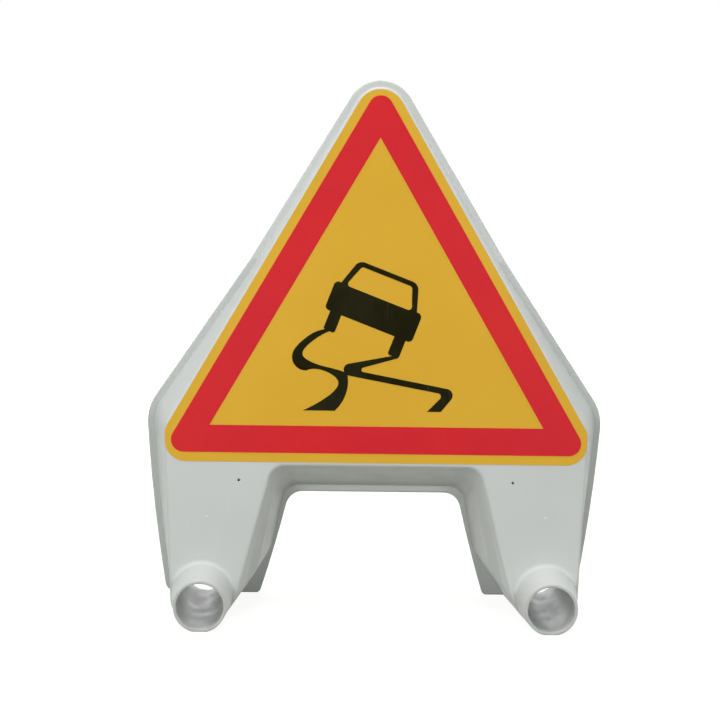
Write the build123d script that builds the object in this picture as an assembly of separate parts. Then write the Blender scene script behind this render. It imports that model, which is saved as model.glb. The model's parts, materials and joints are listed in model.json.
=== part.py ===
from build123d import *
from math import cos, radians, sin, sqrt, tan
import os

# Free-standing triangular roadworks warning sign: one open-backed moulding on two foot tubes,
# with a reflective sheet, a red border and a cut-film slippery-road symbol on its face.
# Millimetres and degrees. +Z is up, the face looks towards -Y, and the ground is Z = 0.
# The origin is on the ground, midway between the feet and midway from front to back.

# Reflective sheet and films on the face
sheet_side = 700.0  # side of the yellow triangle, measured to its sharp corners
sheet_corner_radius = 37.5  # at the top of the triangle, which the moulding's corners follow
sheet_trim = 29.0  # the lower corners are cut off upright, this far in from their sharp points
sheet_trim_radius = 20.0  # bend from the side of the triangle into that cut
sheet_foot_radius = 31.5  # from that cut into the lower edge
sheet_thickness = 0.5
yellow_rim = 14.0  # yellow left showing outside the red border
red_band = 41.6
red_corner_radius = 19.0
film_thickness = 0.3

# Face and depth of the moulding
face_lean = 9.0  # the face leans back from the vertical
sheet_height = 238.0  # lower edge of the sheet above the ground
face_margin = 2.5  # bare face showing round the sheet
wall = 3.5
front_edge_radius = 4.0
base_depth = 224.0  # mouth of the foot tubes to the rear rim, on the ground
leg_depth = 163.0  # face to rear rim, on the ground
waist_height = 540.0  # the rear edge bends here
waist_depth = 24.0  # face to rear edge at the bend
crown_depth = 5.0  # face to rear edge at the sharp top of the triangle
rim_width = 9.0  # flange round the open back
rim_thickness = 4.0
rim_foot_width = 2.0  # the flange has nearly died out where the legs' inner walls reach the ground
rim_arch_radius = 28.0  # corners of the rim at the top of the arch
rim_heel_radius = 8.0  # lower inner corners of the rim
rim_end_radius = 18.0  # lower outer corners of the rim

# Outline of the face below the triangle, as half widths from the middle
shoulder_half = 320.0  # outer edge of the legs, level with the sheet's lower edge
foot_half = 308.0  # outer edge of the legs, on the ground
arch_drop = 5.0  # top of the arch below the sheet's lower edge
arch_top_half = 159.0
arch_foot_half = 221.0
arch_corner_radius = 26.0

# Chamfer on the inner front edge of each leg, in two flats, which widens towards the foot
chamfer_depth = 30.0
chamfer_top = 12.0
chamfer_share = 0.31  # width of the chamfer on the ground, as a share of the leg's width there
chamfer_bend = 0.35  # share of the chamfer's depth where its two flats meet
chamfer_bulge = 0.55  # share of the chamfer's width that is left behind that bend

# Draft of the walls, measured from the line square to the face
slant_draft = 21.0
shoulder_draft = 11.5
foot_draft = 1.5
arch_draft = 17.5
arch_side_draft_top = 13.3
arch_side_draft_foot = 2.4

# Foot tubes: a straight duct inside a taper, which runs on as the heel under each leg
tube_shift = 2.5  # the tubes stand inside the middle of the legs
tube_swell = 3.0  # the taper is wider than half the leg where it leaves the face
tube_taper = 7.0  # the taper's radius shrinks by this on its way to the mouth
tube_wall = 4.2
tube_sink = 1.5  # the ground cuts this much off the mouth, as a flat to stand on
tube_blend = 6.0  # radius of the hollow between the taper and the face
blend_sink = 0.15  # the hollow's ends lie a little inside the taper and the face
blend_steps = 4  # flats that the hollow is made of
heel_angle = 35.0  # slope of the heel, from the vertical, where it leaves the taper
heel_radius = 50.0  # bend between the heel and the leg's inner wall
leg_end_tuck = 4.5  # lower outer corner of a leg, against the taper's radius

# Small blind holes in the front of the legs, each in a boss behind the face
pin_hole_radius = 1.8
pin_hole_half = 208.5
pin_hole_drop = 28.0  # below the sheet's lower edge
pin_hole_depth = 12.0
boss_wall = 2.5  # round the hole and behind it

# Slippery-road symbol, placed on the face from the middle of the sheet's lower edge
car_x = -7.3
car_height = 230.4
car_tilt = 20.9
car_length = 142.0
car_body_height = 46.5
car_body_radius = 7.0
cabin_base = 123.4
cabin_roof = 97.2
cabin_height = 41.2
cabin_radius = 13.5
cabin_frame = 7.6
window_radius = 5.0
window_sink = 1.5  # the window's lower edge dips into the car's body
tyre_inset = 9.4
tyre_width = 18.2
tyre_drop = 29.3
tyre_bevel = 2.5
skid_grid = 10.0  # square of the grid that the skid marks are drawn on

lean = radians(face_lean)
rear_y = base_depth / 2
mouth_y = -base_depth / 2
face_foot_y = rear_y - leg_depth
sheet_tall = sheet_side * sqrt(3) / 2
tube_x = (foot_half + arch_foot_half) / 2 - tube_shift
tube_root_radius = (foot_half - arch_foot_half) / 2 + tube_swell
tube_mouth_radius = tube_root_radius - tube_taper
tube_bore_radius = tube_mouth_radius - tube_wall
tube_height = tube_mouth_radius - tube_sink
leg_end_radius = tube_root_radius - leg_end_tuck
bend_depth = chamfer_bend * chamfer_depth
chamfer_foot = chamfer_share * (foot_half - arch_foot_half)
sides = {"left": -1, "right": 1}


def face_y(height):
    """Place of the face, front to back, at a height above the ground."""
    return face_foot_y + height * tan(lean)


face_plane = Plane(
    origin=(0, face_y(sheet_height), sheet_height),
    x_dir=(1, 0, 0),
    z_dir=(0, -cos(lean), sin(lean)),
)
film_plane = face_plane.offset(sheet_thickness)


def on_face(y, z):
    """Height up the face and depth behind it of a point in the side view."""
    back = y - face_y(sheet_height)
    up = z - sheet_height
    return back * sin(lean) + up * cos(lean), back * cos(lean) - up * sin(lean)


ground_line = on_face(face_foot_y, 0)[0]
far_depth = on_face(rear_y, 0)[1] + wall


tube_root_y = face_y(tube_height)
taper_slope = tube_taper / (tube_root_y - mouth_y)


def taper_radius(y):
    """Outside radius of a foot tube's taper, at a place from front to back."""
    return tube_root_radius + taper_slope * (y - tube_root_y)


def arch_halves(depth):
    """Half widths of the arch at its top and on the ground, at a depth behind the face."""
    first_flat = min(depth / bend_depth, 1)
    second_flat = min(max(depth - bend_depth, 0) / (chamfer_depth - bend_depth), 1)
    chamfer = (1 - chamfer_bulge) * first_flat + chamfer_bulge * second_flat
    behind = max(depth - chamfer_depth, 0)
    top = arch_top_half - chamfer * chamfer_top - behind * tan(radians(arch_side_draft_top))
    foot = arch_foot_half - chamfer * chamfer_foot - behind * tan(radians(arch_side_draft_foot))
    return top, foot


def at(line, up):
    """Point of a line, given as an offset and a slope, at a height up the face."""
    offset, slope = line
    return offset + slope * up, up


def cross(first, second):
    """Point where two lines meet."""
    return at(first, (second[0] - first[0]) / (first[1] - second[1]))


def outline(depth, grow, square_ends):
    """Rounded outline of the moulding at a depth behind the face, grown outwards."""
    out = face_margin + depth * tan(radians(slant_draft)) + grow
    apex = sheet_tall + 2 * out
    slant = (apex * tan(radians(30)), -tan(radians(30)))
    shoulder = shoulder_half + depth * tan(radians(shoulder_draft)) + grow
    foot = foot_half + depth * tan(radians(foot_draft)) + grow
    outer = (shoulder, (foot - shoulder) / ground_line)
    top_half, low_half = arch_halves(depth)
    top_half -= grow
    low_half -= rim_foot_width if square_ends else grow
    inner_slope = (low_half - top_half) / (ground_line + arch_drop)
    inner = (top_half + inner_slope * arch_drop, inner_slope)
    arch_top = -arch_drop - depth * tan(radians(arch_draft)) - grow

    corner_round = sheet_corner_radius + out
    right = [cross(slant, outer)]
    radii = [corner_round]
    if square_ends:
        ground = on_face(face_foot_y + depth / cos(lean), 0)[0]
        right += [at(outer, ground), at(inner, ground)]
        radii += [rim_end_radius, rim_heel_radius, rim_arch_radius]
    else:
        axis_y = tube_root_y + depth / cos(lean)
        axis_up = on_face(axis_y, tube_height)[0]
        heel_round = taper_radius(axis_y) + grow
        end = axis_up - heel_round
        slope = tan(radians(heel_angle))
        heel = (tube_x - heel_round / cos(radians(heel_angle)) + axis_up * slope, -slope)
        right += [at(outer, end), at(heel, end), cross(heel, inner)]
        radii += [leg_end_radius + grow, heel_round, heel_radius + grow, arch_corner_radius - grow]
    right += [at(inner, arch_top)]
    left = [(-x, up) for x, up in reversed(right)]
    line = FilletPolyline((0, apex), *right, *left, radius=[corner_round] + radii + radii[::-1], close=True)
    return Wire((face_plane.offset(-depth) * line).edges())


def drafted_body(grow, start, square_ends=False):
    """Solid behind the face, from a depth on, with its drafted walls grown outwards."""
    sections = [outline(depth, grow, square_ends) for depth in (start, bend_depth, chamfer_depth, far_depth)]
    return Solid.make_loft(sections, ruled=True)


def in_front_of_rear(inset):
    """Block above the ground and in front of the bent rear edge, moved forwards by an inset."""
    crown_height = sheet_height + sheet_tall * cos(lean)
    front = mouth_y - wall
    waist_y = face_y(waist_height) + waist_depth / cos(lean) - inset
    crown_y = face_y(crown_height) + crown_depth / cos(lean) - inset
    profile = Plane.YZ * Polyline(
        (front, 0),
        (rear_y - inset, 0),
        (waist_y, waist_height),
        (crown_y, crown_height),
        (front, crown_height),
        close=True,
    )
    return extrude(make_face(profile), sheet_side, both=True)


def rim():
    """Flange round the open back, with square lower corners that stand on the ground."""
    slab = in_front_of_rear(0) - in_front_of_rear(rim_thickness)
    return drafted_body(rim_width, 0, square_ends=True) & slab


def straight_tube(side, radius, near, far):
    """Cylinder on a foot tube's axis."""
    axis = Plane(origin=(side * tube_x, near, tube_height), x_dir=(1, 0, 0), z_dir=(0, 1, 0))
    return axis * Cylinder(radius, far - near, align=(Align.CENTER, Align.CENTER, Align.MIN))


def tapered_nose(side, inset):
    """Taper of a foot tube, from its mouth into the wall of the face, thinned by an inset."""
    near = mouth_y + inset
    far = face_y(tube_height + tube_root_radius) + wall / 2 + inset
    axis = Plane(origin=(side * tube_x, near, tube_height), x_dir=(1, 0, 0), z_dir=(0, 1, 0))
    upright = (Align.CENTER, Align.CENTER, Align.MIN)
    return axis * Cone(taper_radius(near) - inset, taper_radius(far) - inset, far - near, align=upright)


def blend_section(side, rise, spread):
    """Ellipse round a foot tube's taper, in a plane in front of the face, grown by a spread."""
    axis_y = tube_root_y - rise / cos(lean)
    radius = taper_radius(axis_y)
    above = radius / (cos(lean) - taper_slope * sin(lean))
    below = radius / (cos(lean) + taper_slope * sin(lean))
    middle = on_face(axis_y, tube_height)[0] + (above - below) / 2
    upright = Pos(side * tube_x, middle) * Rot(0, 0, -90)
    return (face_plane.offset(rise) * upright * Ellipse((above + below) / 2 + spread, radius + spread)).wire()


def root_blend(side):
    """Hollow blend between a foot tube's taper and the flat of the face."""
    sections = []
    for step in range(blend_steps + 1):
        turn = radians(90) * step / blend_steps
        rise = tube_blend * (1 - cos(turn)) - blend_sink
        spread = tube_blend * (1 - sin(turn)) - blend_sink
        sections.append(blend_section(side, rise, spread))
    flat = make_face(outline(0, -front_edge_radius, False).edges())
    return Solid.make_loft(sections, ruled=True) & extrude(flat, 2 * tube_blend, both=True)


def behind_face(side, radius, near, far):
    """Cylinder on a small hole's axis, between two depths behind the face."""
    axis = face_plane * Pos(side * pin_hole_half, -pin_hole_drop, -far)
    return axis * Cylinder(radius, far - near, align=(Align.CENTER, Align.CENTER, Align.MIN))


def body_shell():
    """The moulding: face, drafted walls, rim, legs and foot tubes."""
    outside = drafted_body(0, 0)
    front = outside.faces().sort_by(Axis(face_plane.origin, face_plane.z_dir))[-1]
    outside = outside.fillet(front_edge_radius, front.edges())
    shell = (outside & in_front_of_rear(0)) + rim()
    hollow = drafted_body(-wall, wall)
    for side in sides.values():
        shell += tapered_nose(side, 0)
        shell += root_blend(side)
        hollow += tapered_nose(side, wall)
    shell -= hollow & Pos(0, 0, wall) * in_front_of_rear(-wall)
    for side in sides.values():
        shell += straight_tube(side, tube_mouth_radius, mouth_y, rear_y)
        shell -= straight_tube(side, tube_bore_radius, mouth_y - wall, rear_y + wall)
        shell += behind_face(side, pin_hole_radius + boss_wall, wall / 2, pin_hole_depth + boss_wall)
        shell -= behind_face(side, pin_hole_radius, -wall, pin_hole_depth)
    return shell & in_front_of_rear(0)


def inset_triangle(inset, radius):
    """The sheet's triangle, drawn in by an inset on every side."""
    half = sheet_side / 2 - sqrt(3) * inset
    corners = [(-half, inset), (half, inset), (0, sheet_tall - 2 * inset)]
    return make_face(FilletPolyline(*corners, radius=radius, close=True))


def yellow_sheet():
    """Yellow reflective sheet stuck to the face, with its lower corners cut off upright."""
    half = sheet_side / 2 - sheet_trim
    right = [(half, sheet_trim * sqrt(3)), (half, 0)]
    left = [(-x, up) for x, up in reversed(right)]
    low_radii = [sheet_trim_radius, sheet_foot_radius]
    radii = [sheet_corner_radius] + low_radii + low_radii[::-1]
    line = FilletPolyline((0, sheet_tall), *right, *left, radius=radii, close=True)
    return extrude(face_plane * make_face(line), sheet_thickness)


def film(shape):
    """Cut film of the given outline, stuck on the sheet."""
    return extrude(film_plane * shape, film_thickness)


def red_border():
    """Outline of the red border."""
    return inset_triangle(yellow_rim, red_corner_radius) - inset_triangle(yellow_rim + red_band, 0)


car_place = Pos(car_x, car_height) * Rot(0, 0, -car_tilt)


def car():
    """Outline of the car from behind: its body, and the cabin frame round an open window."""
    top = car_body_height / 2
    roof = top + cabin_height
    sill = top - window_sink
    low = cabin_base / 2
    high = cabin_roof / 2
    cabin_corners = [(-low, 0), (low, 0), (low, top), (high, roof), (-high, roof), (-low, top)]
    cabin_radii = [0, 0, 0, cabin_radius, cabin_radius, 0]
    cabin = make_face(FilletPolyline(*cabin_corners, radius=cabin_radii, close=True))
    low_inside = low - cabin_frame
    high_inside = high - cabin_frame
    ceiling = roof - cabin_frame
    window_corners = [(-low_inside, sill), (low_inside, sill), (high_inside, ceiling), (-high_inside, ceiling)]
    window = make_face(FilletPolyline(*window_corners, radius=window_radius, close=True))
    body = RectangleRounded(car_length, car_body_height, car_body_radius)
    return car_place * (body + cabin - window)


def tyre_foot(side):
    """Place under the middle of a tyre, in the car's own upright frame."""
    return side * (car_length / 2 - tyre_inset - tyre_width / 2), -car_body_height / 2 - tyre_drop


def tyre(side):
    """Outline of a tyre, bevelled where it meets the road."""
    middle, bottom = tyre_foot(side)
    block = Pos(middle, bottom) * Rectangle(tyre_width, tyre_drop, align=(Align.CENTER, Align.MIN))
    low_corners = block.vertices().sort_by(Axis.Y)[:2]
    return car_place * chamfer(low_corners, tyre_bevel)


def under_tyre(side, shape):
    """Shape drawn from under a tyre, upright on the face, with that tyre cut away."""
    place = (car_place * Pos(*tyre_foot(side))).position
    return Pos(place.X, place.Y) * shape - tyre(side)


def on_grid(*squares):
    """Points of the skid marks' drawing, given in squares of its grid."""
    return [(x * skid_grid, y * skid_grid) for x, y in squares]


def skid_right():
    """Outline of the right skid mark, a bent strip that runs left and then right."""
    near_side = on_grid((0, 0.1), (-11.5, -2.1), (7.9, -5.7), (5.3, -8.35))
    far_side = on_grid((7.4, -8.35), (10, -5.15), (-5.9, -2.15), (0.85, -0.25))
    radii = [bend * skid_grid for bend in (0, 0.92, 0.5, 0, 0, 1, 0.34, 0)]
    return under_tyre(1, make_face(FilletPolyline(*near_side, *far_side, radius=radii, close=True)))


def skid_left():
    """Outline of the left skid mark, which swells and thins as it snakes."""
    start, end, bend, foot_left, foot_right, tip = on_grid(
        (-0.3, 0.3), (0.7, 0), (-3.3, -6.05), (-3.8, -12.1), (1.05, -12.1), (2.9, -6.4),
    )
    outer_top = Spline(start, *on_grid((-3.85, -1.4), (-5.5, -3.8)), bend, tangents=[(-1, -0.1), (1, 0)])
    outer_low = Spline(bend, *on_grid((0.3, -6.45), (1.5, -7.5), (-1, -10.6)), foot_left)
    inner_low = Spline(foot_right, *on_grid((2.6, -9.9), (3.05, -7.7)), tip)
    inner_top = Spline(tip, *on_grid((0.35, -5.6), (-2.5, -4.75), (-3.9, -3.7), (-2.75, -1.8)), end)
    straights = [Line(foot_left, foot_right), Line(end, start)]
    shape = make_face([outer_top, outer_low, inner_low, inner_top] + straights)
    return under_tyre(-1, shape) - skid_right()


parts = {
    "body_shell": body_shell(),
    "yellow_sheet": yellow_sheet(),
    "red_border": film(red_border()),
    "symbol_car": film(car()),
    "symbol_tyre_left": film(tyre(sides["left"])),
    "symbol_tyre_right": film(tyre(sides["right"])),
    "symbol_skid_left": film(skid_left()),
    "symbol_skid_right": film(skid_right()),
}

os.makedirs("parts", exist_ok=True)
for name, solid in parts.items():
    export_step(solid, f"parts/{name}.step")
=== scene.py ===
# %% [markdown]
# # A roadworks warning sign
# The sign is one pale grey moulding with a reflective sheet stuck on its face. The solids come
# from the CAD part and stay where they are. This lesson gives them their finishes, adds two
# marks that the mould leaves, and sets up the light, the floor and the camera.

# %% Load the solids
import json
from math import cos, pi, radians, sin

import bmesh
import bpy
from mathutils import Matrix, Vector


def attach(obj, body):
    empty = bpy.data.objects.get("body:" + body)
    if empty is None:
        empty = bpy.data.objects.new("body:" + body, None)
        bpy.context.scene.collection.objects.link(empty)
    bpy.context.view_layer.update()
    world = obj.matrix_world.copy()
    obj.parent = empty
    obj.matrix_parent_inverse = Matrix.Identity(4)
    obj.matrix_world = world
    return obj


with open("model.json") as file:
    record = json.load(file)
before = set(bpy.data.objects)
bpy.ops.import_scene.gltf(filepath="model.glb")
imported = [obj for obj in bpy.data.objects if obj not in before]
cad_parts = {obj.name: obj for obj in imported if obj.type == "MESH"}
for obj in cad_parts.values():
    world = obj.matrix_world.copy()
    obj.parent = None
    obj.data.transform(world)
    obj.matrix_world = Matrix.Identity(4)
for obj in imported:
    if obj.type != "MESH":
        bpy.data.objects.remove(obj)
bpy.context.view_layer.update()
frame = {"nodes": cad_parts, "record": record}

scene = bpy.context.scene
white = (1.0, 1.0, 1.0, 1.0)
print("solids:", sorted(frame["nodes"]))

# %% [markdown]
# ## Small helpers for node trees
# Every finish below is a tree of shader nodes. Adding a node, setting its values and linking its
# sockets takes three lines each time, so `put` does all three. A value that is itself an output
# socket becomes a link, and any other value is set. The other helpers wrap `put` for the nodes
# that come up most, and for groups of nodes that several finishes share.


# %% Helpers for node trees
def put(tree, kind, sockets=None, **settings):
    """Add a node, set its options, and fill its input sockets with values or links."""
    node = tree.nodes.new(kind)
    for option, value in settings.items():
        setattr(node, option, value)
    for label, value in (sockets or {}).items():
        target = node.inputs[label]
        if isinstance(value, bpy.types.NodeSocket):
            tree.links.new(value, target)
        else:
            target.default_value = value
    return node


def math_node(tree, operation, first, second, clamp=False):
    """One sum on two numbers, as an output socket."""
    sockets = {0: first, 1: second}
    return put(tree, "ShaderNodeMath", sockets, operation=operation, use_clamp=clamp).outputs[0]


def mix_colour(tree, amount, first, second):
    """Two colours mixed by an amount, as an output socket."""
    sockets = {0: amount, 6: first, 7: second}
    return put(tree, "ShaderNodeMix", sockets, data_type="RGBA").outputs[2]


def remap(tree, value, low, high, new_low=0.0, new_high=1.0):
    """A number moved smoothly from one range into another, as an output socket."""
    sockets = {"Value": value, 1: low, 2: high, 3: new_low, 4: new_high}
    return put(tree, "ShaderNodeMapRange", sockets, interpolation_type="SMOOTHSTEP").outputs[0]


def new_group(name, inputs, outputs):
    """An empty shader node group with named sockets, and its two end nodes."""
    tree = bpy.data.node_groups.new(name, "ShaderNodeTree")
    kind = "NodeSocketFloat"
    for label, value in inputs.items():
        socket = tree.interface.new_socket(name=label, in_out="INPUT", socket_type=kind)
        socket.default_value = value
    for label in outputs:
        tree.interface.new_socket(name=label, in_out="OUTPUT", socket_type=kind)
    return tree, tree.nodes.new("NodeGroupInput"), tree.nodes.new("NodeGroupOutput")


def place_group(tree, group, **values):
    """One use of a shared group in a material, with its own values. Gives its outputs."""
    node = put(tree, "ShaderNodeGroup", node_tree=group)
    for label, value in values.items():
        node.inputs[label.replace("_", " ").title()].default_value = value
    return node.outputs


print("helpers ready")

# %% [markdown]
# ## The grain of moulded plastic
# A mould is etched before use, so the plastic has a very fine grain that takes the glare off it.
# The plastic also flows in slowly and cools unevenly, which leaves broad, faint clouds. A picture
# of plastic could give both, but noise in the object's own space needs no unwrapping and has the
# right size in metres everywhere. The group gives a height for bumps, a tone for colour and a
# gloss for roughness, and each material sets how coarse they are.

# %% Shared effect: moulded grain
noise_low, noise_high = 0.3, 0.7  # most of a noise lies between these
gloss_finer = 9.0  # patches of gloss are this many times finer than the clouds

grain_group, grain_in, grain_out = new_group(
    "moulded_grain",
    {"Grains Per Metre": 1100.0, "Clouds Per Metre": 5.0},
    ["Height", "Tone", "Gloss"],
)
space = put(grain_group, "ShaderNodeTexCoord").outputs["Object"]
grains = grain_in.outputs["Grains Per Metre"]
clouds = grain_in.outputs["Clouds Per Metre"]
fine = put(
    grain_group,
    "ShaderNodeTexNoise",
    {"Vector": space, "Scale": grains, "Detail": 2.0, "Roughness": 0.6},
).outputs[0]
broad = put(
    grain_group,
    "ShaderNodeTexNoise",
    {"Vector": space, "Scale": clouds, "Detail": 3.0, "Roughness": 0.5},
).outputs[0]
finer = math_node(grain_group, "MULTIPLY", clouds, gloss_finer)
patchy = put(
    grain_group, "ShaderNodeTexNoise", {"Vector": space, "Scale": finer, "Detail": 2.0}
).outputs[0]
tone = remap(grain_group, broad, noise_low, noise_high)
gloss = remap(grain_group, patchy, noise_low, noise_high)
grain_group.links.new(fine, grain_out.inputs["Height"])
grain_group.links.new(tone, grain_out.inputs["Tone"])
grain_group.links.new(gloss, grain_out.inputs["Gloss"])
print("group:", grain_group.name, [s.name for s in grain_group.interface.items_tree])

# %% [markdown]
# ## Fine scratches
# A sign that is stacked and carried picks up short hairline scratches, on the plastic and on the
# sheet alike. Scratches could be drawn as curves, but noise that is stretched some eighty times
# in one direction already gives thin broken lines. Two layers at different slants cross each
# other, and a third, broad noise leaves most of the surface clean.

# %% Shared effect: fine scratches
scratch_slants = (38.0, -24.0)  # degrees
scratch_stretch = (1.0, 0.3, 0.012)
line_low, line_high = 0.68, 0.74  # only the peaks of the stretched noise are lines
patches_per_metre = 7.0
patch_low, patch_high = 0.5, 0.68

scratch_group, scratch_in, scratch_out = new_group(
    "fine_scratches", {"Lines Per Metre": 260.0}, ["Mask"]
)
space = put(scratch_group, "ShaderNodeTexCoord").outputs["Object"]
density = scratch_in.outputs["Lines Per Metre"]
layers = []
for slant in scratch_slants:
    turned = put(
        scratch_group,
        "ShaderNodeMapping",
        {"Vector": space, "Rotation": (0.0, radians(slant), 0.0), "Scale": scratch_stretch},
    ).outputs[0]
    lines = put(
        scratch_group, "ShaderNodeTexNoise", {"Vector": turned, "Scale": density, "Detail": 1.0}
    ).outputs[0]
    layers.append(remap(scratch_group, lines, line_low, line_high))
patches = put(
    scratch_group,
    "ShaderNodeTexNoise",
    {"Vector": space, "Scale": patches_per_metre, "Detail": 2.0},
).outputs[0]
where = remap(scratch_group, patches, patch_low, patch_high)
crossed = math_node(scratch_group, "MAXIMUM", *layers)
mask = math_node(scratch_group, "MULTIPLY", crossed, where)
scratch_group.links.new(mask, scratch_out.inputs["Mask"])
print("group:", scratch_group.name, [s.name for s in scratch_group.interface.items_tree])

# %% [markdown]
# ## Glass beads under the film
# Reflective sheeting is a film over a layer of tiny glass beads. By day the beads show only as a
# faint sparkle and a slight orange-peel on the surface. Modelling millions of beads is out of the
# question, and a Voronoi texture, which splits space into small cells with a random shade each,
# gives the same look for the yellow sheet and for the red film printed on it.

# %% Shared effect: glass beads
spark_from = 0.7  # only the brightest cells sparkle

bead_group, bead_in, bead_out = new_group(
    "glass_beads", {"Beads Per Metre": 1500.0}, ["Height", "Sparkle"]
)
space = put(bead_group, "ShaderNodeTexCoord").outputs["Object"]
density = bead_in.outputs["Beads Per Metre"]
cells = put(bead_group, "ShaderNodeTexVoronoi", {"Vector": space, "Scale": density}).outputs
shade = put(bead_group, "ShaderNodeSeparateColor", {"Color": cells["Color"]}).outputs[0]
sparkle = remap(bead_group, shade, spark_from, 1.0)
bead_group.links.new(cells["Distance"], bead_out.inputs["Height"])
bead_group.links.new(sparkle, bead_out.inputs["Sparkle"])
print("group:", bead_group.name, [s.name for s in bead_group.interface.items_tree])

# %% [markdown]
# ## Specks
# Grit and small bubbles get under the films, and dark grains get into the plastic. They are a
# millimetre or two wide and far apart. A sparse Voronoi texture, of which only the very middle of
# some cells is kept, gives round specks at random places.

# %% Shared effect: specks
bare_share = 0.45  # share of the cells that keep no speck

speck_group, speck_in, speck_out = new_group(
    "specks", {"Specks Per Metre": 22.0, "Width": 0.03}, ["Mask"]
)
space = put(speck_group, "ShaderNodeTexCoord").outputs["Object"]
density = speck_in.outputs["Specks Per Metre"]
width = speck_in.outputs["Width"]
cells = put(speck_group, "ShaderNodeTexVoronoi", {"Vector": space, "Scale": density}).outputs
shade = put(speck_group, "ShaderNodeSeparateColor", {"Color": cells["Color"]}).outputs[1]
chosen = math_node(speck_group, "GREATER_THAN", shade, bare_share)
core = math_node(speck_group, "SUBTRACT", width, cells["Distance"])
core = math_node(speck_group, "DIVIDE", core, width, clamp=True)
mask = math_node(speck_group, "MULTIPLY", chosen, core)
speck_group.links.new(mask, speck_out.inputs["Mask"])
print("group:", speck_group.name, [s.name for s in speck_group.interface.items_tree])

# %% [markdown]
# ## What the finishes have in common
# Each finish is one Principled shader. Its colour is built up in layers, each laid over the last
# where a mask is set. Its roughness wanders between two values, since no real surface is evenly
# glossy, and a fine height gives it bumps. The films also carry a clear coat.


# %% Helpers for finishes
def new_material(name, colour, roughness):
    """A material with a Principled shader, and its tree."""
    material = bpy.data.materials.new(name)
    material.use_nodes = True
    shader = material.node_tree.nodes["Principled BSDF"]
    shader.inputs["Base Color"].default_value = colour
    shader.inputs["Roughness"].default_value = roughness
    material.diffuse_color = colour
    return material, material.node_tree, shader


def lay_over(tree, colour, mask, share, layer):
    """A colour with a share of another laid over it by a mask, as an output socket."""
    return mix_colour(tree, math_node(tree, "MULTIPLY", mask, share), colour, layer)


def add_bumps(tree, shader, height, strength, depth, normal=None):
    """Fine bumps from a height, on the plain surface or on a normal that is given."""
    sockets = {"Strength": strength, "Distance": depth, "Height": height}
    if normal is not None:
        sockets["Normal"] = normal
    bump = put(tree, "ShaderNodeBump", sockets)
    tree.links.new(bump.outputs[0], shader.inputs["Normal"])


def film_coat(shader, sheen, weight, roughness):
    """The clear top film: a thin, smooth coat with the same gloss all over."""
    shader.inputs["Specular IOR Level"].default_value = sheen
    shader.inputs["Coat Weight"].default_value = weight
    shader.inputs["Coat Roughness"].default_value = roughness


fine_bump_depth = 0.0002
print("finish helpers ready")

# %% [markdown]
# ## Pale grey moulded plastic
# The moulding is a pale grey with a trace of green, satin rather than shiny. Its colour drifts a
# little with the clouds of the flow, rubbed edges are a touch lighter, and corners and hollows
# are darkened a little with painted shade. The Bevel node rounds the look of every hard edge,
# inside and out, as a mould does, and its turned normal is compared with the plain one to find
# the edges.
# Ambient occlusion, which tells how shut in a place is, sets where the painted shade goes, and
# since nothing rubs in a hollow, it also keeps the rub to open edges.

# %% Finish: moulded plastic
plastic_pale = (0.585, 0.61, 0.596, 1.0)
plastic_deep = (0.555, 0.58, 0.565, 1.0)
plastic_rubbed = (0.66, 0.675, 0.64, 1.0)
# dark grey for the specks in the plastic, and also for the painted shade in its corners
plastic_speck_and_shade = (0.36, 0.37, 0.33, 1.0)
edge_round = 0.004
hollow_reach = 0.02
plastic_sheen = 0.3

plastic, tree, shader = new_material("moulded_plastic", plastic_pale, 0.42)
grain = place_group(tree, grain_group, grains_per_metre=1100.0, clouds_per_metre=5.0)
scratches = place_group(tree, scratch_group, lines_per_metre=240.0)["Mask"]
specks = place_group(tree, speck_group, specks_per_metre=9.0, width=0.008)["Mask"]
rounded = put(tree, "ShaderNodeBevel", {"Radius": edge_round}, samples=8).outputs[0]
plain = put(tree, "ShaderNodeNewGeometry").outputs["Normal"]
turn = put(
    tree, "ShaderNodeVectorMath", {0: rounded, 1: plain}, operation="DOT_PRODUCT"
).outputs["Value"]
openness = put(
    tree, "ShaderNodeAmbientOcclusion", {"Distance": hollow_reach}, samples=8
).outputs["AO"]
# painted shade: strongest in the corners and hollows that ambient occlusion finds shut in
corner_shade = remap(tree, openness, 0.75, 0.35)
edge = remap(tree, turn, 0.995, 0.9)
edge = math_node(tree, "MULTIPLY", edge, remap(tree, openness, 0.8, 0.97))

colour = mix_colour(tree, grain["Tone"], plastic_deep, plastic_pale)
# painted shade laid into the corners and hollows
colour = lay_over(tree, colour, corner_shade, 0.12, plastic_speck_and_shade)
colour = lay_over(tree, colour, edge, 0.3, plastic_rubbed)
colour = lay_over(tree, colour, scratches, 0.22, plastic_rubbed)
colour = lay_over(tree, colour, specks, 0.5, plastic_speck_and_shade)
tree.links.new(colour, shader.inputs["Base Color"])

roughness = remap(tree, grain["Gloss"], 0.0, 1.0, 0.38, 0.48)
dulled = math_node(tree, "MULTIPLY", scratches, 0.12)
tree.links.new(math_node(tree, "ADD", roughness, dulled), shader.inputs["Roughness"])
add_bumps(tree, shader, grain["Height"], 0.12, 0.0003, rounded)
shader.inputs["Specular IOR Level"].default_value = plastic_sheen
print("material:", plastic.name, len(tree.nodes), "nodes")

# %% [markdown]
# ## Yellow reflective sheet
# The sheet is an orange-tinged yellow. Its clear top film is smooth, so it carries a thin coat of
# gloss over the duller bead layer. The beads give a faint sparkle, and a few dark specks lie
# under the film.

# %% Finish: yellow sheet
yellow_light = (0.71, 0.413, 0.034, 1.0)
yellow_deep = (0.675, 0.385, 0.029, 1.0)
yellow_spark = (0.77, 0.485, 0.055, 1.0)
speck_brown = (0.3, 0.2, 0.05, 1.0)

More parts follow.
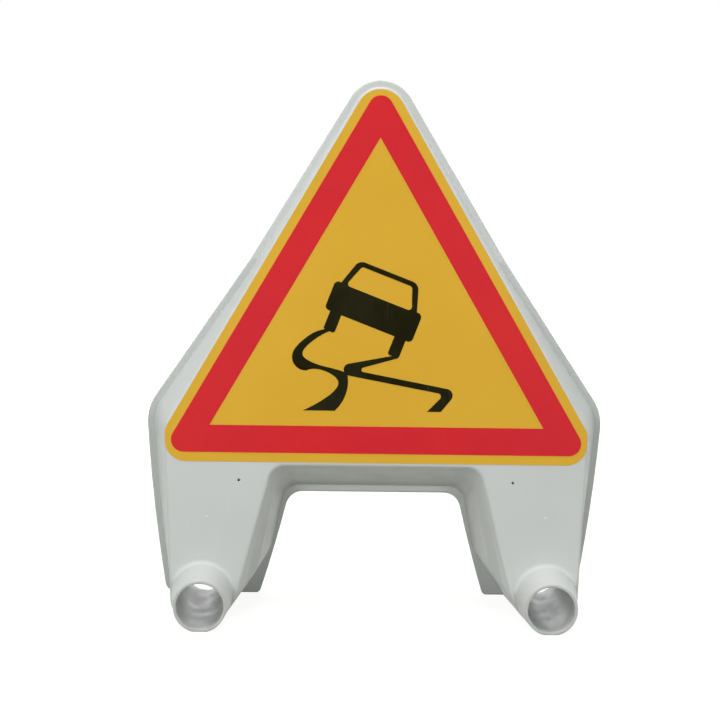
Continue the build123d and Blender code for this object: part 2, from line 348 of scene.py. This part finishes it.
yellow, tree, shader = new_material("yellow_sheeting", yellow_light, 0.4)
grain = place_group(tree, grain_group, grains_per_metre=700.0, clouds_per_metre=4.0)
beads = place_group(tree, bead_group, beads_per_metre=1500.0)
scratches = place_group(tree, scratch_group, lines_per_metre=300.0)["Mask"]
specks = place_group(tree, speck_group, specks_per_metre=20.0, width=0.03)["Mask"]
colour = mix_colour(tree, grain["Tone"], yellow_deep, yellow_light)
colour = lay_over(tree, colour, beads["Sparkle"], 0.3, yellow_spark)
colour = lay_over(tree, colour, specks, 0.45, speck_brown)
colour = lay_over(tree, colour, scratches, 0.1, yellow_spark)
tree.links.new(colour, shader.inputs["Base Color"])
roughness = remap(tree, grain["Gloss"], 0.0, 1.0, 0.36, 0.46)
tree.links.new(roughness, shader.inputs["Roughness"])
add_bumps(tree, shader, beads["Height"], 0.06, fine_bump_depth)
film_coat(shader, sheen=0.1, weight=0.05, roughness=0.14)
print("material:", yellow.name, len(tree.nodes), "nodes")

# %% [markdown]
# ## Red film
# The border is a clear red printed over the same beaded sheet, so the yellow's sparkle shows
# through it darker and redder. It is the glossiest surface on the sign, and it drifts between a
# warm and a cooler red.

# %% Finish: red film
red_warm = (0.655, 0.018, 0.02, 1.0)
red_cool = (0.62, 0.015, 0.027, 1.0)
red_spark = (0.73, 0.04, 0.04, 1.0)
red_dark = (0.33, 0.01, 0.013, 1.0)

red, tree, shader = new_material("red_film", red_warm, 0.34)
grain = place_group(tree, grain_group, grains_per_metre=700.0, clouds_per_metre=6.0)
beads = place_group(tree, bead_group, beads_per_metre=1500.0)
scratches = place_group(tree, scratch_group, lines_per_metre=300.0)["Mask"]
specks = place_group(tree, speck_group, specks_per_metre=16.0, width=0.025)["Mask"]
colour = mix_colour(tree, grain["Tone"], red_cool, red_warm)
colour = lay_over(tree, colour, beads["Sparkle"], 0.3, red_spark)
colour = lay_over(tree, colour, specks, 0.5, red_dark)
colour = lay_over(tree, colour, scratches, 0.14, red_spark)
tree.links.new(colour, shader.inputs["Base Color"])
roughness = remap(tree, grain["Gloss"], 0.0, 1.0, 0.3, 0.4)
tree.links.new(roughness, shader.inputs["Roughness"])
add_bumps(tree, shader, beads["Height"], 0.05, fine_bump_depth)
film_coat(shader, sheen=0.1, weight=0.08, roughness=0.12)
print("material:", red.name, len(tree.nodes), "nodes")

# %% [markdown]
# ## Black cut film
# The symbol is cut from an opaque black film with a slight brown cast. It has no beads, only a
# fine grain, and its scratches show as thin grey lines.

# %% Finish: black film
black_film = (0.0085, 0.0078, 0.001, 1.0)
black_worn = (0.0195, 0.019, 0.0068, 1.0)
black_scratch = (0.13, 0.125, 0.1, 1.0)

black, tree, shader = new_material("black_film", black_film, 0.4)
grain = place_group(tree, grain_group, grains_per_metre=900.0, clouds_per_metre=14.0)
scratches = place_group(tree, scratch_group, lines_per_metre=320.0)["Mask"]
colour = mix_colour(tree, grain["Tone"], black_film, black_worn)
colour = lay_over(tree, colour, scratches, 0.3, black_scratch)
tree.links.new(colour, shader.inputs["Base Color"])
roughness = remap(tree, grain["Gloss"], 0.0, 1.0, 0.36, 0.5)
tree.links.new(roughness, shader.inputs["Roughness"])
add_bumps(tree, shader, grain["Height"], 0.06, fine_bump_depth)
film_coat(shader, sheen=0.02, weight=0.01, roughness=0.25)
print("material:", black.name, len(tree.nodes), "nodes")

# %% [markdown]
# ## Dressing the solids
# Each solid has one material slot. The record names the slot's finish, so a short table from slot
# to material dresses every solid, and none can be missed.

# %% Put the finishes on the solids
finishes = {
    "body_plastic": plastic,
    "yellow_sheeting": yellow,
    "red_film": red,
    "black_film": black,
}
for part in frame["record"]["subparts"]:
    node = frame["nodes"][part["node"]]
    node.data.materials.clear()
    node.data.materials.append(finishes[part["material_slot"]])
    print(part["node"], "wears", node.data.materials[0].name)

# %% [markdown]
# ## Plastic of the gate marks
# Plastic enters the mould through small gates. Where one is broken off, a pale, slightly proud
# dot stays on the face of each leg. The plastic there is torn and not moulded, so it is lighter,
# and its grain is finer than the mould's.

# %% Finish: gate marks
gate_middle = (0.62, 0.64, 0.6, 1.0)
gate_deep = (0.6, 0.62, 0.58, 1.0)
gate_pale = (0.65, 0.67, 0.63, 1.0)

gate_plastic, tree, shader = new_material("gate_plastic", gate_middle, 0.35)
grain = place_group(tree, grain_group, grains_per_metre=1600.0, clouds_per_metre=60.0)
colour = mix_colour(tree, grain["Tone"], gate_deep, gate_pale)
tree.links.new(colour, shader.inputs["Base Color"])
roughness = remap(tree, grain["Gloss"], 0.0, 1.0, 0.28, 0.42)
tree.links.new(roughness, shader.inputs["Roughness"])
add_bumps(tree, shader, grain["Height"], 0.15, fine_bump_depth)
print("material:", gate_plastic.name, len(tree.nodes), "nodes")

# %% [markdown]
# ## Gate marks
# A painted dot would do from afar, but a low dome of its own catches the light as the real one
# does. Each is a small turned mesh that sits on the leaning face of a leg. Its place is measured
# along the face, down from the foot of the sheet.

# %% Gate marks
lean = radians(9.0)
face_foot = -0.051  # where the face meets the ground
sheet_height = 0.238
sheet_foot = Vector((0.0, face_foot + sheet_height * sin(lean) / cos(lean), sheet_height))
face_up = Vector((0.0, sin(lean), cos(lean)))
face_out = Vector((0.0, -cos(lean), sin(lean)))
gate_radius = 0.0026
gate_rise = 0.0004
gate_rings = 5
gate_sides = 28
gate_places = (("gate_mark_left", -0.2555, 0.0845), ("gate_mark_right", 0.259, 0.081))


def gate_dome(middle):
    """A low dome on the face, turned from rings that rise towards its middle."""
    mesh = bmesh.new()
    rings = []
    for step in range(gate_rings):
        angle = 0.5 * pi * step / gate_rings
        radius = gate_radius * cos(angle)
        rise = gate_rise * sin(angle)
        ring = []
        for side in range(gate_sides):
            turn = 2.0 * pi * side / gate_sides
            offset = Vector((radius * cos(turn), 0.0, 0.0)) + face_up * radius * sin(turn)
            ring.append(mesh.verts.new(middle + offset + face_out * rise))
        rings.append(ring)
    top = mesh.verts.new(middle + face_out * gate_rise)
    for low, high in zip(rings[:-1], rings[1:]):
        for side in range(gate_sides):
            after = (side + 1) % gate_sides
            mesh.faces.new((low[side], low[after], high[after], high[side]))
    for side in range(gate_sides):
        mesh.faces.new((rings[-1][side], rings[-1][(side + 1) % gate_sides], top))
    mesh.faces.new(rings[0][::-1])
    bmesh.ops.recalc_face_normals(mesh, faces=mesh.faces)
    return mesh


for name, across, drop in gate_places:
    dome_mesh = gate_dome(sheet_foot + Vector((across, 0.0, 0.0)) - face_up * drop)
    data = bpy.data.meshes.new(name)
    dome_mesh.to_mesh(data)
    dome_mesh.free()
    # The dome is smooth, and only its base, the face with the most corners, stays flat.
    smooth = [len(face.vertices) < gate_sides for face in data.polygons]
    data.polygons.foreach_set("use_smooth", smooth)
    piece = bpy.data.objects.new(name, data)
    scene.collection.objects.link(piece)
    piece.data.materials.append(gate_plastic)
    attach(piece, "root")
    print(piece.name, "at", across, "and", drop, "below the sheet")

# %% [markdown]
# ## Floor
# The sign stands on a white sweep. A floor bright enough to render white would throw light up
# onto the object, so the floor stays a plain grey for the light, and only what the camera and
# mirrors see of it is lifted to white. The lift is a little less round the sign than far away, so
# the shadow under the feet still darkens the floor.


# %% Floor
def seen_directly(tree):
    """One where the camera, a mirror or glass looks, and nothing where light only bounces."""
    path = put(tree, "ShaderNodeLightPath").outputs
    seen = math_node(tree, "MAXIMUM", path["Is Camera Ray"], path["Is Glossy Ray"])
    return math_node(tree, "MAXIMUM", seen, path["Is Transmission Ray"])


reach = 30.0
floor_dark = (0.24, 0.245, 0.205, 1.0)
floor_light = (0.255, 0.26, 0.22, 1.0)
near, far = 0.5, 1.6  # metres from the sign
lift_near, lift_far = 0.88, 1.0

floor_corners = [(x * reach, y * reach, 0.0) for x, y in ((-1, -1), (1, -1), (1, 1), (-1, 1))]
floor_mesh = bpy.data.meshes.new("floor")
floor_mesh.from_pydata(floor_corners, [], [(0, 1, 2, 3)])
floor = bpy.data.objects.new("floor", floor_mesh)
scene.collection.objects.link(floor)

floor_paint = bpy.data.materials.new("floor_paint")
floor_paint.use_nodes = True
tree = floor_paint.node_tree
tree.nodes.clear()
floor_grain = put(tree, "ShaderNodeTexNoise", {"Scale": 40.0, "Detail": 3.0}).outputs[0]
floor_tone = mix_colour(tree, floor_grain, floor_dark, floor_light)
dull = put(tree, "ShaderNodeBsdfDiffuse", {"Color": floor_tone}).outputs[0]
place = put(tree, "ShaderNodeNewGeometry").outputs["Position"]
distance = put(tree, "ShaderNodeVectorMath", {0: place}, operation="LENGTH").outputs["Value"]
lift = remap(tree, distance, near, far, lift_near, lift_far)
lift = math_node(tree, "MULTIPLY", seen_directly(tree), lift)
glow = put(tree, "ShaderNodeEmission", {"Color": white, "Strength": lift}).outputs[0]
both = put(tree, "ShaderNodeAddShader", {0: dull, 1: glow}).outputs[0]
put(tree, "ShaderNodeOutputMaterial", {"Surface": both})
floor.data.materials.append(floor_paint)
print("floor reaches", reach, "metres")

# %% [markdown]
# ## Background
# The world is a weak dome of light, a little stronger overhead than at the horizon. As on the
# floor, what the camera and mirrors see of it is plain white, and that white lights nothing.

# %% World
dome_side = 0.15
dome_top = 0.2

world = bpy.data.worlds.new("studio")
scene.world = world
world.use_nodes = True
tree = world.node_tree
tree.nodes.clear()
direction = put(tree, "ShaderNodeTexCoord").outputs["Generated"]
height = put(tree, "ShaderNodeSeparateXYZ", {"Vector": direction}).outputs["Z"]
dome = put(
    tree, "ShaderNodeMapRange", {"Value": height, 1: 0.0, 2: 1.0, 3: dome_side, 4: dome_top}
).outputs[0]
level = put(tree, "ShaderNodeMix", {0: seen_directly(tree), 2: dome, 3: 1.0}).outputs[0]
sky = put(tree, "ShaderNodeBackground", {"Color": white, "Strength": level}).outputs[0]
put(tree, "ShaderNodeOutputWorld", {"Surface": sky})
print("dome from", dome_side, "at its foot to", dome_top, "at its top")

# %% [markdown]
# ## Studio light
# The foot tubes are brightest on top and the underside of the arch is the darkest face, so one
# wide softbox hangs overhead. A pair in front lights the face. They stand a little higher than
# the camera, so their light reaches the flange behind the arch but passes under its ceiling, and
# far enough to the sides that their mirror images miss the films. Two more at the sides lift the
# walls. The last stands low behind the sign and shines through the ducts, which would be black
# holes without it. The photograph is a little brighter on the left, so the lamps there are
# stronger than those on the right.


# %% Softboxes
def softbox(name, place, target, width, watts):
    """A square, white area light that looks at a point."""
    lamp = bpy.data.lights.new(name, "AREA")
    lamp.shape = "SQUARE"
    lamp.size = width
    lamp.energy = watts
    box = bpy.data.objects.new(name, lamp)
    box.location = place
    box.rotation_euler = (Vector(target) - Vector(place)).to_track_quat("-Z", "Y").to_euler()
    box.visible_camera = False
    scene.collection.objects.link(box)
    print(name, watts, "watts")


heart = (0.0, 0.0, 0.4)
above_arch = (0.0, 0.0, 0.3)
ducts = (0.0, 0.0, 0.1)
softbox("overhead", (0.0, 0.0, 3.2), heart, 2.0, 57.0)
softbox("side_left", (-2.6, -0.6, 1.8), heart, 1.8, 26.0)
softbox("side_right", (2.6, -0.6, 1.8), heart, 1.8, 19.0)
softbox("front_left", (-1.3, -2.8, 1.3), above_arch, 0.9, 34.5)
softbox("front_right", (1.3, -2.8, 1.3), above_arch, 0.9, 21.5)
softbox("rear", (0.0, 3.0, 0.6), ducts, 2.0, 27.0)

# %% [markdown]
# ## Camera
# The camera stands three metres in front, a little to the left and higher than the sign's middle,
# and looks down by as much as the face leans back, so it meets the face square on. Its slight
# roll is the photograph's own.

# %% Camera
camera_place = (-0.107, -2.989, 0.868)
pitch, yaw, roll = radians(9.0), radians(1.53), radians(1.0)
ahead = Vector((sin(yaw) * cos(pitch), cos(yaw) * cos(pitch), -sin(pitch)))
level_right = Vector((cos(yaw), -sin(yaw), 0.0))
level_up = level_right.cross(ahead)
right = level_right * cos(roll) + level_up * sin(roll)
up = level_up * cos(roll) - level_right * sin(roll)

lens = bpy.data.cameras.new("camera")
lens.sensor_fit = "HORIZONTAL"
lens.sensor_width = 36.0
lens.lens = 100.0
lens.clip_end = 200.0
camera = bpy.data.objects.new("camera", lens)
turned = Matrix((right, up, -ahead)).transposed().to_4x4()
camera.matrix_world = Matrix.Translation(camera_place) @ turned
scene.collection.objects.link(camera)
scene.camera = camera
scene.view_settings.view_transform = "Standard"
print("camera at", tuple(round(v, 3) for v in camera.location))
